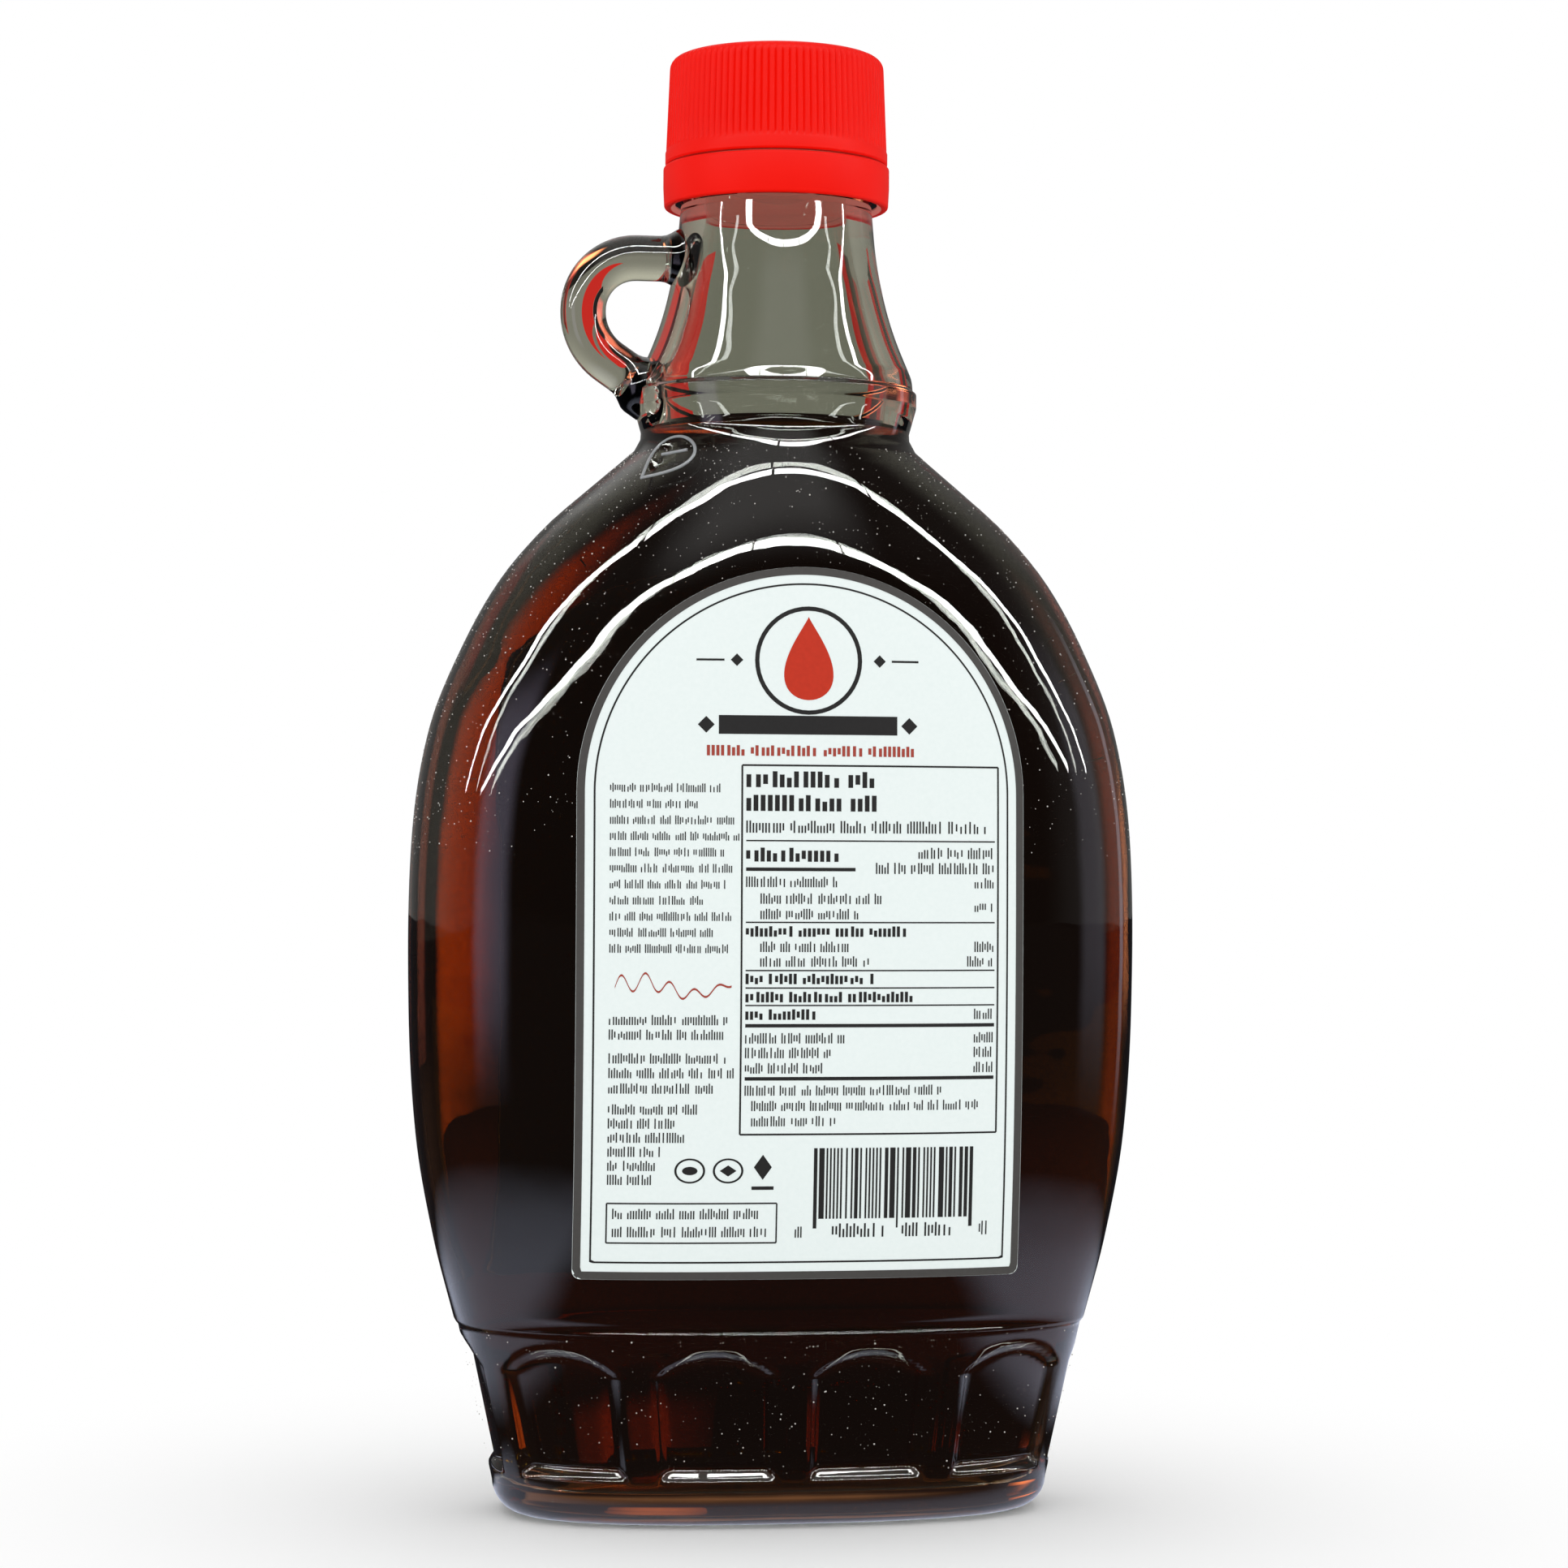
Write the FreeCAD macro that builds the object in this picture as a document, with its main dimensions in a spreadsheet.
"""A glass flask of maple syrup with a finger loop on its neck, a ribbed screw cap and a paper
label on each face.

FreeCAD 1.1 macro, in millimetres. +Z is up, +X runs along the broad side of the flask away from
the finger loop, and the near label faces -Y. The origin is at the middle of the resting face.
The driving dimensions stand in the spreadsheet "Sizes", and each piece is written to
parts/NODE.step.
"""

import FreeCAD, Part
import Sketcher
import math
import os

from FreeCAD import Placement, Rotation, Vector

# ---------------------------------------------------------------- driving dimensions

SIZES = {
    # flask
    "body_width": 108.8,
    "body_depth": 54.6,
    "heel_radius": 4.4,
    "foot_width": 83.0,
    "foot_depth": 43.6,
    "base_top_width": 93.4,
    "base_top_depth": 47.8,
    "ridge_height": 28.6,
    "ridge_chamfer": 1.0,
    "waist_height": 160.0,
    "waist_radius": 20.2,
    "glass_wall": 3.6,
    "floor_thickness": 4.6,
    "floor_rounding": 5.0,
    "push_up": 1.6,
    "standing_rim": 6.0,
    # flutes round the base
    "flute_count": 10,
    "flute_width": 18.6,
    "flute_foot": 6.6,
    "flute_top": 26.4,
    "flute_rise": 4.4,
    "flute_depth": 1.3,
    "flute_bevel": 1.5,
    # neck
    "neck_root": 8.0,
    "waist_ledge": 0.25,
    "collar_radius": 21.3,
    "collar_foot": 4.4,
    "collar_top": 7.2,
    "collar_rounding": 0.9,
    "cone_foot_radius": 20.0,
    "cone_foot": 9.8,
    "cone_bow": 70.0,
    "neck_radius": 14.2,
    "neck_height": 34.6,
    "neck_wall": 3.2,
    "bead_stand": 1.6,
    "bead_height": 2.4,
    "bead_slope": 0.3,
    "finish_radius": 13.6,
    "finish_height": 21.0,
    "bore_radius": 10.6,
    # finger loop
    "loop_reach": 29.1,
    "loop_height": 26.5,
    "loop_drop": 13.0,
    "loop_thickness": 6.8,
    "loop_top_bend": 8.0,
    "loop_side_bend": 9.0,
    "loop_foot_reach": 18.3,
    "loop_foot_height": 6.1,
    "loop_sink": 0.9,
    # syrup
    "fill_above_waist": 1.4,
    # screw cap and tamper ring
    "cap_taper": 0.5,
    "cap_height": 16.1,
    "cap_top": 1.4,
    "cap_wall": 1.5,
    "cap_clearance": 1.5,
    "cap_draft": 0.4,
    "cap_rounding": 1.7,
    "cap_band": 1.9,
    "cap_band_relief": 0.12,
    "rib_count": 96,
    "rib_depth": 0.34,
    "rib_share": 0.62,
    "ring_wall": 1.3,
    "ring_clearance": 0.5,
    "ring_height": 6.2,
    "ring_edge": 0.3,
    "ring_gap": 0.3,
    # labels
    "label_side_gap": 21.75,
    "label_foot_gap": 7.7,
    "label_top_gap": 21.3,
    "label_thickness": 0.35,
    "label_corner": 1.2,
}

# The flask above its ridge, as shares: of the way up from the ridge to the waist, of the half
# width and half depth that the flask has beyond its waist radius, and how square the section is
# (2 is an ellipse).
BODY_LEVELS = [
    (0.000, 0.795, 0.56, 2.55),
    (0.087, 0.883, 0.74, 2.55),
    (0.201, 0.962, 0.90, 2.55),
    (0.353, 0.998, 1.00, 2.55),
    (0.543, 0.988, 1.00, 2.55),
    (0.665, 0.915, 0.99, 2.50),
    (0.756, 0.778, 0.95, 2.42),
    (0.833, 0.614, 0.87, 2.32),
    (0.893, 0.421, 0.73, 2.20),
    (0.939, 0.222, 0.50, 2.10),
    (0.973, 0.072, 0.19, 2.03),
    (1.000, 0.000, 0.00, 2.00),
]
BASE_SQUARENESS = 2.55
SECTION_POINTS = 48  # points that a section's curve runs through
HEEL_STEPS = 4  # levels that a rounded heel is made of
MEASURE_STEPS = 3600  # chords that a section's length is measured with
MARGIN = 2.0  # how far a cutting tool reaches past what it cuts


# ---------------------------------------------------------------- sheet and sketches


class Size:
    """A length that knows both its value and the sheet expression it comes from."""

    def __init__(self, value, text):
        self.value = float(value)
        self.text = text

    def _with(self, other, sign, value):
        text = other.text if isinstance(other, Size) else repr(float(other))
        return Size(value, f"({self.text} {sign} {text})")

    def __add__(self, other):
        return self._with(other, "+", self.value + float(other))

    def __sub__(self, other):
        return self._with(other, "-", self.value - float(other))

    def __mul__(self, other):
        return self._with(other, "*", self.value * float(other))

    def __truediv__(self, other):
        return self._with(other, "/", self.value / float(other))

    def __neg__(self):
        return Size(-self.value, f"(0 - {self.text})")

    def __float__(self):
        return self.value


ZERO = Size(0, "0")


def make_sheet(doc):
    """Writes the driving dimensions as plain numbers with their names as aliases."""
    sheet = doc.addObject("Spreadsheet::Sheet", "Sizes")
    for row, (name, value) in enumerate(SIZES.items(), start=1):
        sheet.set(f"A{row}", name)
        sheet.set(f"B{row}", str(value))
        sheet.setAlias(f"B{row}", name)
    doc.recompute()
    return sheet


def size_of(sheet, name):
    """The named cell as a Size."""
    return Size(getattr(sheet, name), f"Sizes.{name}")


def bind(owner, prop, size):
    """Ties a property, or a constraint of a sketch, to the sheet."""
    owner.setExpression(prop, size.text)


def make_body(doc, name):
    """A PartDesign body with its origin planes."""
    body = doc.addObject("PartDesign::Body", name)
    doc.recompute()
    return body


def origin_feature(body, role):
    """The origin plane or axis of a body, such as XZ_Plane."""
    return next(f for f in body.Origin.OriginFeatures if f.Role == role)


class Outline:
    """A closed or open sketch on an origin plane, with its corners tied to the sheet."""

    def __init__(self, body, name, plane="XZ_Plane", height=None):
        self.sketch = body.newObject("Sketcher::SketchObject", name)
        self.sketch.AttachmentSupport = [(origin_feature(body, plane), "")]
        self.sketch.MapMode = "FlatFace"
        if height is not None:
            bind(self.sketch, "AttachmentOffset.Base.z", height)
        self.corners = []
        self.segments = []

    def start(self, across, up):
        """The first corner."""
        self.corners.append((across, up))
        return self

    def line(self, across, up):
        """A straight side to the next corner."""
        self.segments.append(None)
        self.corners.append((across, up))
        return self

    def arc(self, across, up, radius, turn):
        """A round side to the next corner: turn is 1 where it runs anticlockwise, -1 clockwise."""
        self.segments.append((radius, turn))
        self.corners.append((across, up))
        return self

    def finish(self, closed=True):
        """Adds the sides, joins them and ties every corner and radius."""
        for number, bend in enumerate(self.segments):
            begin = self._point(number)
            end = self._point(0 if closed and number == len(self.segments) - 1 else number + 1)
            if bend is None:
                self.sketch.addGeometry(Part.LineSegment(begin, end), False)
            else:
                self.sketch.addGeometry(self._arc(begin, end, *bend), False)
        for number, bend in enumerate(self.segments):
            self._tie_corner(number)
            if number + 1 < len(self.segments):
                self._join(number, number + 1)
            if bend is not None:
                self._tie(Sketcher.Constraint("Radius", number, float(bend[0])), bend[0])
        if closed:
            self._join(len(self.segments) - 1, 0)
        else:
            self._tie_corner(len(self.segments), last=True)
        return self.sketch

    def _point(self, number):
        across, up = self.corners[number]
        return Vector(float(across), float(up), 0)

    @staticmethod
    def _arc(begin, end, radius, turn):
        chord = end - begin
        half = chord.Length / 2
        rise = math.sqrt(max(float(radius) ** 2 - half**2, 0.0))
        side = Vector(-chord.y, chord.x, 0).normalize()
        centre = (begin + end) * 0.5 + side * (rise * turn)
        circle = Part.Circle(centre, Vector(0, 0, 1), float(radius))
        first, last = (circle.parameter(p) for p in ((begin, end) if turn > 0 else (end, begin)))
        return Part.ArcOfCircle(circle, first, last + (2 * math.pi if last < first else 0))

    def _ends(self, number):
        """Which ends of a side are its begin and its end: an arc always runs anticlockwise."""
        bend = self.segments[number]
        return (2, 1) if bend is not None and bend[1] < 0 else (1, 2)

    def _join(self, number, following):
        """The end of a side lies on the start of the one that follows."""
        end, begin = self._ends(number)[1], self._ends(following)[0]
        self.sketch.addConstraint(Sketcher.Constraint("Coincident", number, end, following, begin))

    def _tie_corner(self, number, last=False):
        side = number - 1 if last else number
        end = self._ends(side)[1 if last else 0]
        across, up = self.corners[number]
        for kind, size, axis in (("DistanceX", across, -2), ("DistanceY", up, -1)):
            if size is ZERO:
                self.sketch.addConstraint(Sketcher.Constraint("PointOnObject", side, end, axis))
            elif float(size) < 0:
                rule = Sketcher.Constraint(kind, side, end, -1, 1, -float(size))
                self._tie(rule, -size)
            else:
                self._tie(Sketcher.Constraint(kind, -1, 1, side, end, float(size)), size)

    def _tie(self, rule, size):
        index = self.sketch.addConstraint(rule)
        bind(self.sketch, f"Constraints[{index}]", size)


def revolve(body, sketch, name, kind="PartDesign::Revolution"):
    """Turns a half profile all round the vertical axis."""
    turned = body.newObject(kind, name)
    turned.Profile = sketch
    turned.ReferenceAxis = (sketch, ["V_Axis"])
    turned.Angle = 360
    sketch.Visibility = False
    return turned


# ---------------------------------------------------------------- sections of the flask


def section_radius(angle, half_width, half_depth, squareness):
    """Distance from the axis to the section's outline in one direction."""
    across = abs(math.cos(angle)) / half_width
    along = abs(math.sin(angle)) / half_depth
    return (across**squareness + along**squareness) ** (-1 / squareness)


def section_wire(height, half_width, half_depth, squareness):
    """A level, rounded section of the flask as one smooth closed curve."""
    points = []
    for step in range(SECTION_POINTS):
        angle = 2 * math.pi * step / SECTION_POINTS
        reach = section_radius(angle, half_width, half_depth, squareness)
        points.append(Vector(reach * math.cos(angle), reach * math.sin(angle), height))
    curve = Part.BSplineCurve()
    curve.interpolate(Points=points, PeriodicFlag=True)
    return Part.Wire([curve.toShape()])


def skin(levels, offset=0.0):
    """One smooth solid through levels of (height, half width, half depth, squareness)."""
    wires = [section_wire(z, w + offset, d + offset, n) for z, w, d, n in levels]
    return Part.makeLoft(wires, True, len(wires) == 2)


def body_levels(sheet):
    """The flask from its ridge up to its waist."""
    rise = sheet.waist_height - sheet.ridge_height
    half_width = sheet.body_width / 2 - sheet.waist_radius
    half_depth = sheet.body_depth / 2 - sheet.waist_radius
    return [
        (
            sheet.ridge_height + up * rise,
            sheet.waist_radius + wide * half_width,
            sheet.waist_radius + deep * half_depth,
            square,
        )
        for up, wide, deep, square in BODY_LEVELS
    ]


def heel_levels(sheet):
    """The rounded heel, from the resting face up to the foot of the base panel."""
    levels = []
    for step in range(HEEL_STEPS + 1):
        angle = math.pi / 2 * step / HEEL_STEPS
        inset = sheet.heel_radius * (1 - math.sin(angle))
        height = sheet.heel_radius * (1 - math.cos(angle))
        half_width, half_depth = sheet.foot_width / 2 - inset, sheet.foot_depth / 2 - inset
        levels.append((height, half_width, half_depth, BASE_SQUARENESS))
    return levels


def base_wall(sheet, height):
    """The level of the straight, outward leaning wall of the base at a height."""
    top = sheet.ridge_height - sheet.ridge_chamfer
    share = (height - sheet.heel_radius) / (top - sheet.heel_radius)
    half_width = (sheet.foot_width + share * (sheet.base_top_width - sheet.foot_width)) / 2
    half_depth = (sheet.foot_depth + share * (sheet.base_top_depth - sheet.foot_depth)) / 2
    return (height, half_width, half_depth, BASE_SQUARENESS)


def flask_outside(sheet):
    """The flask's outer form: heel, base panel, ridge and body, without flutes."""
    base_top = base_wall(sheet, sheet.ridge_height - sheet.ridge_chamfer)
    body = body_levels(sheet)
    heel = heel_levels(sheet)
    parts = [skin(heel), skin([heel[-1], base_top]), skin([base_top, body[0]]), skin(body)]
    return parts[0].fuse(parts[1:]).removeSplitter()


def flask_hollow(sheet):
    """The space inside the flask, with a rounded floor, up to the neck."""
    wall = sheet.glass_wall
    rounding = sheet.floor_rounding
    levels = []
    for step in range(HEEL_STEPS + 1):
        angle = math.pi / 2 * step / HEEL_STEPS
        height = sheet.floor_thickness + rounding * (1 - math.cos(angle))
        _, width, depth, square = base_wall(sheet, height)
        inset = wall + rounding * (1 - math.sin(angle))
        levels.append((height, width - inset, depth - inset, square))
    levels += [(z, w - wall, d - wall, n) for z, w, d, n in body_levels(sheet)]
    return skin(levels)


# ---------------------------------------------------------------- flutes round the base


def spaced_angles(half_width, half_depth, squareness, count):
    """Directions that are evenly spaced along the section, the near face midway between two."""
    lengths = [0.0]
    last = None
    for step in range(MEASURE_STEPS + 1):
        angle = -math.pi / 2 + 2 * math.pi * step / MEASURE_STEPS
        reach = section_radius(angle, half_width, half_depth, squareness)
        point = Vector(reach * math.cos(angle), reach * math.sin(angle), 0)
        if last is not None:
            lengths.append(lengths[-1] + (point - last).Length)
        last = point
    angles = []
    step = 0
    for number in range(count):
        wanted = (number + 0.5) / count * lengths[-1]
        while lengths[step] < wanted:
            step += 1
        angles.append(-math.pi / 2 + 2 * math.pi * step / MEASURE_STEPS)
    return angles


def wall_frame(sheet, angle, height):
    """Where a flute sits: a placement on the base wall, X level along it, Z out of it."""
    _, half_width, half_depth, square = base_wall(sheet, height)
    reach = section_radius(angle, half_width, half_depth, square)
    point = Vector(reach * math.cos(angle), reach * math.sin(angle), height)
    steep = square - 1
    outward = Vector(
        math.copysign((abs(point.x) / half_width) ** steep / half_width, point.x),
        math.copysign((abs(point.y) / half_depth) ** steep / half_depth, point.y),
        0,
    ).normalize()
    _, higher_width, higher_depth, _ = base_wall(sheet, height + 1)
    higher = section_radius(angle, higher_width, higher_depth, square)
    outward.z = reach - higher
    outward.normalize()
    along = Vector(0, 0, 1).cross(outward).normalize()
    return Placement(point, Rotation(along, outward.cross(along), outward, "ZXY"))


def arch_wire(sheet, frame, middle, out):
    """The outline of a flute, wider by the bevel the further out of the wall it is."""
    grow = out * sheet.flute_bevel
    half = sheet.flute_width / 2 + grow
    foot = sheet.flute_foot - middle - grow
    top = sheet.flute_top - middle + grow
    spring = top - sheet.flute_rise
    left, right = Vector(-half, spring, out), Vector(half, spring, out)
    low_left, low_right = Vector(-half, foot, out), Vector(half, foot, out)
    edges = [
        Part.LineSegment(left, low_left).toShape(),
        Part.LineSegment(low_left, low_right).toShape(),
        Part.LineSegment(low_right, right).toShape(),
        Part.Arc(right, Vector(0, top, out), left).toShape(),
    ]
    wire = Part.Wire(edges)
    wire.Placement = frame
    return wire


def flute_cutters(sheet):
    """The glass taken away for the flutes: bevelled arches down to an even depth."""
    middle = (sheet.flute_foot + sheet.flute_top) / 2
    core = skin(
        [
            base_wall(sheet, sheet.flute_foot - MARGIN * 2),
            base_wall(sheet, sheet.flute_top + MARGIN * 2),
        ],
        offset=-sheet.flute_depth,
    )
    _, half_width, half_depth, square = base_wall(sheet, middle)
    cutters = []
    for angle in spaced_angles(half_width, half_depth, square, int(sheet.flute_count)):
        frame = wall_frame(sheet, angle, middle)
        outer = arch_wire(sheet, frame, middle, MARGIN / 2)
        inner = arch_wire(sheet, frame, middle, -sheet.flute_depth * 2)
        cutters.append(Part.makeLoft([outer, inner], True, True).cut(core))
    return Part.makeCompound(cutters)


# ---------------------------------------------------------------- glass


def make_neck(doc, size):
    """The collar, the tapering neck and the finish that the cap screws on to, solid."""
    waist = size("waist_height")
    body = make_body(doc, "Neck")
    outline = Outline(body, "NeckProfile")
    inside = size("waist_radius") - size("waist_ledge")
    finish = waist + size("neck_height")
    mouth = finish + size("finish_height")
    collar = size("collar_radius")
    bead_foot = finish + size("bead_slope")
    bead_top = bead_foot + size("bead_height")
    outline.start(ZERO, waist - size("neck_root"))
    outline.line(inside - size("waist_ledge"), waist - size("neck_root"))
    outline.line(inside, waist)
    outline.line(collar, waist + size("collar_foot"))
    outline.line(collar, waist + size("collar_top"))
    outline.line(size("cone_foot_radius"), waist + size("cone_foot"))
    outline.arc(size("neck_radius"), finish, size("cone_bow"), -1)
    outline.line(size("finish_radius") + size("bead_stand"), bead_foot)
    outline.line(size("finish_radius") + size("bead_stand"), bead_top)
    outline.line(size("finish_radius"), bead_top + size("bead_slope"))
    outline.line(size("finish_radius"), mouth)
    outline.line(ZERO, mouth)
    outline.line(ZERO, waist - size("neck_root"))
    turned = revolve(body, outline.finish(), "NeckTurned")
    doc.recompute()
    rounded = body.newObject("PartDesign::Fillet", "CollarRounding")
    rounded.Base = (turned, collar_edges(turned.Shape, collar, waist, size))
    bind(rounded, "Radius", size("collar_rounding"))
    return body


def collar_edges(shape, collar, waist, size):
    """The names of the two round edges of the collar."""
    heights = [float(waist + size(n)) for n in ("collar_foot", "collar_top")]
    names = []
    for number, edge in enumerate(shape.Edges, start=1):
        box = edge.BoundBox
        level = box.ZLength < 0.01 and min(abs(box.ZMin - z) for z in heights) < 0.01
        if level and abs(box.XMax - float(collar)) < 0.01:
            names.append(f"Edge{number}")
    return names


def make_bore(doc, size):
    """The space inside the neck, from the flask's hollow up through the mouth."""
    waist = size("waist_height")
    wall = size("neck_wall")
    body = make_body(doc, "Bore")
    outline = Outline(body, "BoreProfile")
    low = size("waist_radius") - size("glass_wall") - size("waist_ledge")
    root = waist - size("neck_root")
    finish = waist + size("neck_height")
    mouth = finish + size("finish_height") + MARGIN
    outline.start(ZERO, root)
    outline.line(low - size("waist_ledge"), root)
    outline.line(low, waist)
    outline.line(size("cone_foot_radius") - wall, waist + size("collar_foot"))
    outline.line(size("cone_foot_radius") - wall, waist + size("collar_top"))
    outline.arc(size("bore_radius"), finish, size("cone_bow"), -1)
    outline.line(size("bore_radius"), mouth)
    outline.line(ZERO, mouth)
    outline.line(ZERO, root)
    revolve(body, outline.finish(), "BoreTurned")
    return body


def make_loop(doc, size):
    """The finger loop: a round rod from the upper neck, out, down and back to the collar."""
    waist = size("waist_height")
    body = make_body(doc, "Loop")
    top = waist + size("loop_height")
    reach = size("loop_reach")
    turn = size("loop_top_bend")
    path = Outline(body, "LoopPath")
    root = -(size("neck_radius") - size("loop_sink"))
    low = top - size("loop_drop")
    foot_across, foot_up = -size("loop_foot_reach"), waist + size("loop_foot_height")
    # where the lower bend leaves the upright, and where it meets the slanting leg
    slant = math.atan2(float(low - foot_up), float(foot_across + reach))
    bend_run = float(size("loop_side_bend")) * math.tan((math.pi / 2 - slant) / 2)
    leg = math.hypot(float(low - foot_up), float(foot_across + reach))
    straight = 1 - bend_run / leg
    bend_end = (
        foot_across - (foot_across + reach) * straight,
        foot_up + (low - foot_up) * straight,
    )
    path.start(root, top)
    path.line(-(reach - turn), top)
    path.arc(-reach, top - turn, turn, 1)
    path.line(-reach, low + bend_run)
    path.arc(bend_end[0], bend_end[1], size("loop_side_bend"), 1)
    path.line(foot_across, foot_up)
    spine = path.finish(closed=False)
    ring = body.newObject("Sketcher::SketchObject", "LoopSection")
    ring.AttachmentSupport = [(origin_feature(body, "YZ_Plane"), "")]
    ring.MapMode = "FlatFace"
    bind(ring, "AttachmentOffset.Base.z", root)
    centre = Vector(0, float(top), 0)
    ring.addGeometry(Part.Circle(centre, Vector(0, 0, 1), float(size("loop_thickness")) / 2), False)
    ring.addConstraint(Sketcher.Constraint("PointOnObject", 0, 3, -2))
    rule = ring.addConstraint(Sketcher.Constraint("DistanceY", -1, 1, 0, 3, float(top)))
    bind(ring, f"Constraints[{rule}]", top)
    rule = ring.addConstraint(Sketcher.Constraint("Diameter", 0, float(size("loop_thickness"))))
    bind(ring, f"Constraints[{rule}]", size("loop_thickness"))
    doc.recompute()
    rod = body.newObject("PartDesign::AdditivePipe", "LoopRod")
    rod.Profile = ring
    rod.Spine = spine
    rod.Mode = "Frenet"
    return body


def feature(doc, name, shape):
    """A Part::Feature with a shape worked out from the sheet."""
    made = doc.addObject("Part::Feature", name)
    made.Shape = shape
    return made


def fused(doc, name, pieces):
    """The pieces joined into one."""
    made = doc.addObject("Part::MultiFuse", name)
    made.Shapes = pieces
    made.Refine = False
    return made


def cut(doc, name, base, tool):
    """The base with the tool taken away."""
    made = doc.addObject("Part::Cut", name)
    made.Base = base
    made.Tool = tool
    made.Refine = False
    return made


def shared(doc, name, base, tool):
    """What the base and the tool have in common."""
    made = doc.addObject("Part::Common", name)
    made.Base = base
    made.Tool = tool
    made.Refine = False
    return made


def make_glass(doc, sheet, size, hollow):
    """The bottle: flask, neck and finger loop in one piece of glass."""
    outside = feature(doc, "FlaskOutside", flask_outside(sheet))
    flutes = feature(doc, "Flutes", flute_cutters(sheet))
    fluted = cut(doc, "FlutedFlask", outside, flutes)
    bottle = fused(doc, "SolidBottle", [fluted, make_neck(doc, size), make_loop(doc, size)])
    doc.recompute()
    opened = cut(doc, "OpenBottle", bottle, hollow)
    _, width, depth, square = heel_levels(sheet)[0]
    rim = sheet.standing_rim
    punt = skin(
        [
            (-MARGIN, width - rim, depth - rim, square),
            (sheet.push_up, width - rim - MARGIN, depth - rim - MARGIN, square),
        ]
    )
    glass = cut(doc, "bottle_glass", opened, feature(doc, "PushUp", punt))
    return glass, outside


# ---------------------------------------------------------------- syrup


def make_syrup(doc, sheet, size, hollow):
    """The syrup: all of the hollow below the fill level."""
    box = doc.addObject("Part::Box", "FilledSpace")
    bind(box, "Length", size("body_width"))
    bind(box, "Width", size("body_depth"))
    bind(box, "Height", size("waist_height") + size("fill_above_waist"))
    bind(box, "Placement.Base.x", -(size("body_width") / 2))
    bind(box, "Placement.Base.y", -(size("body_depth") / 2))
    return shared(doc, "maple_syrup", hollow, box)


# ---------------------------------------------------------------- cap and tamper ring


def make_cap(doc, size):
    """The screw cap: a thin cup with a plain band at its foot and fine ribs above it."""
    body = make_body(doc, "screw_cap")
    mouth = size("waist_height") + size("neck_height") + size("finish_height")
    top = mouth + size("cap_top")
    foot = top - size("cap_height")
    band = foot + size("cap_band")
    inner = size("finish_radius") + size("cap_clearance")
    radius = inner + size("cap_wall")
    upper = radius - size("cap_taper")
    turn = size("cap_rounding")
    outline = Outline(body, "CapProfile")
    outline.start(ZERO, mouth)
    outline.line(inner - size("cap_draft"), mouth)
    outline.line(inner, foot)
    outline.line(radius + size("cap_band_relief"), foot)
    outline.line(radius + size("cap_band_relief"), band)
    outline.line(radius, band + size("cap_band_relief"))
    outline.line(upper, top - turn)
    outline.arc(upper - turn, top, turn, 1)
    outline.line(ZERO, top)
    outline.line(ZERO, mouth)
    revolve(body, outline.finish(), "CapTurned")
    doc.recompute()
    valley = Outline(body, "RibValley", "XY_Plane", height=top + MARGIN)
    depth = size("rib_depth")
    half = radius * math.pi / float(size("rib_count")) * size("rib_share")
    valley.start(upper - depth, ZERO)
    valley.line(radius + depth, half * 2)  # twice as wide there, because it is a V
    valley.line(radius + depth, -(half * 2))
    valley.line(upper - depth, ZERO)
    sketch = valley.finish()
    pocket = body.newObject("PartDesign::Pocket", "RibGroove")
    pocket.Profile = sketch
    bind(pocket, "Length", top + MARGIN - band - size("cap_band_relief") * 2)
    doc.recompute()
    ribs = body.newObject("PartDesign::PolarPattern", "Ribs")
    ribs.Originals = [pocket]
    ribs.Axis = (sketch, ["N_Axis"])
    ribs.Angle = 360
    bind(ribs, "Occurrences", size("rib_count"))
    body.Tip = ribs
    return body


def make_ring(doc, size):
    """The tamper ring left under the cap, held by the bead of the neck."""
    body = make_body(doc, "tamper_ring")
    mouth = size("waist_height") + size("neck_height") + size("finish_height")
    top = mouth + size("cap_top") - size("cap_height") - size("ring_gap")
    foot = top - size("ring_height")
    inner = size("finish_radius") + size("bead_stand") + size("ring_clearance")
    radius = inner + size("ring_wall")
    edge = size("ring_edge")
    outline = Outline(body, "RingProfile")
    outline.start(inner, foot)
    outline.line(radius - edge, foot)
    outline.line(radius, foot + edge)
    outline.line(radius, top - edge)
    outline.line(radius - edge, top)
    outline.line(inner, top)
    outline.line(inner, foot)
    revolve(body, outline.finish(), "RingTurned")
    return body


# ---------------------------------------------------------------- labels


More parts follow.
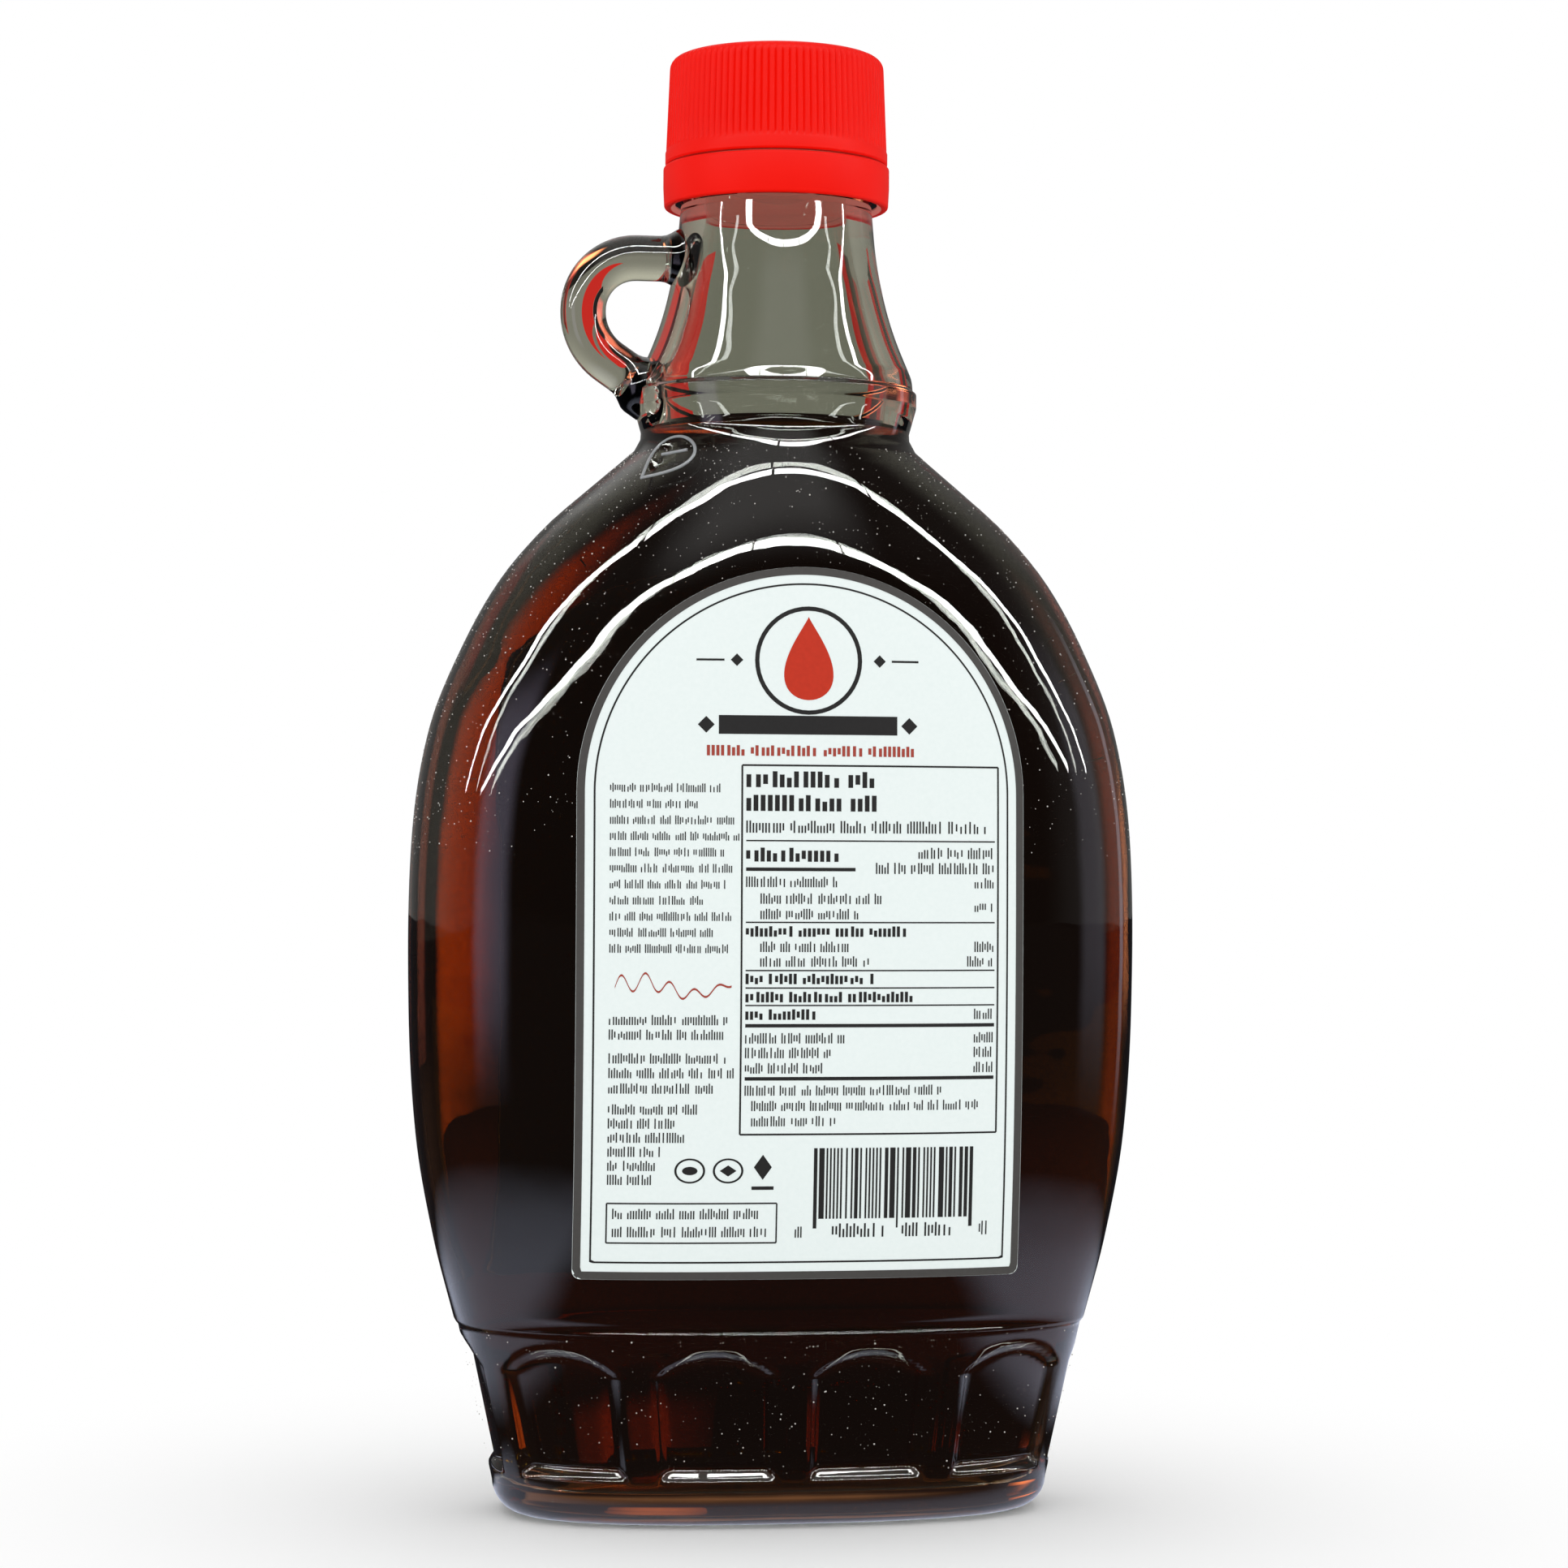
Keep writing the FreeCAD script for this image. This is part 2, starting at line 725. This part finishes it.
def make_label(doc, sheet, size, outside, name, turn):
    """A thin paper label with an arched top that follows the flask; turn is 0 or 180 degrees."""
    sheet_body = make_body(doc, f"{name}_outline")
    half = size("body_width") / 2 - size("label_side_gap")
    foot = size("ridge_height") + size("label_foot_gap")
    top = size("waist_height") - size("label_top_gap")
    corner = size("label_corner")
    outline = Outline(sheet_body, f"{name}_sketch")
    outline.start(-half, top - half)
    outline.line(-half, foot + corner)
    outline.arc(-half + corner, foot, corner, 1)
    outline.line(half - corner, foot)
    outline.arc(half, foot + corner, corner, 1)
    outline.line(half, top - half)
    outline.arc(ZERO, top, half, 1)
    outline.arc(-half, top - half, half, 1)
    pad = sheet_body.newObject("PartDesign::Pad", f"{name}_pad")
    pad.Profile = outline.finish()
    bind(pad, "Length", size("body_depth"))
    sheet_body.Placement = Placement(Vector(), Rotation(Vector(0, 0, 1), turn))
    over = feature(doc, f"{name}_over", skin(body_levels(sheet), sheet.label_thickness))
    lying = shared(doc, f"{name}_lying", over, sheet_body)
    return cut(doc, name, lying, outside)


# ---------------------------------------------------------------- build and write


def check(doc, pieces):
    """Stops the build if any object failed or any piece isn't one valid solid."""
    for thing in doc.Objects:
        if {"Invalid", "Error"} & set(thing.State):
            raise RuntimeError(f"{thing.Label} failed: {thing.State}")
    for piece in pieces:
        shape = piece.Shape
        if shape.isNull() or not shape.isValid() or len(shape.Solids) != 1:
            raise RuntimeError(f"{piece.Label}: {len(shape.Solids)} solids, {shape.isValid()}")


def main():
    doc = FreeCAD.newDocument("MapleSyrupBottle")
    sheet = make_sheet(doc)

    def size(name):
        return size_of(sheet, name)

    space = feature(doc, "FlaskHollow", flask_hollow(sheet))
    hollow = fused(doc, "Hollow", [space, make_bore(doc, size)])
    doc.recompute()
    glass, outside = make_glass(doc, sheet, size, hollow)
    pieces = [
        glass,
        make_syrup(doc, sheet, size, hollow),
        make_cap(doc, size),
        make_ring(doc, size),
        make_label(doc, sheet, size, outside, "label_near", 0),
        make_label(doc, sheet, size, outside, "label_far", 180),
    ]
    doc.recompute()
    check(doc, pieces)
    os.makedirs("parts", exist_ok=True)
    for piece in pieces:
        piece.Shape.exportStep(f"parts/{piece.Label}.step")
        box = piece.Shape.BoundBox
        print(
            f"{piece.Label}: {piece.Shape.Volume / 1000:.2f} ml, "
            f"{box.XLength:.1f} x {box.YLength:.1f} x {box.ZLength:.1f} mm, "
            f"{len(piece.Shape.Faces)} faces"
        )


main()
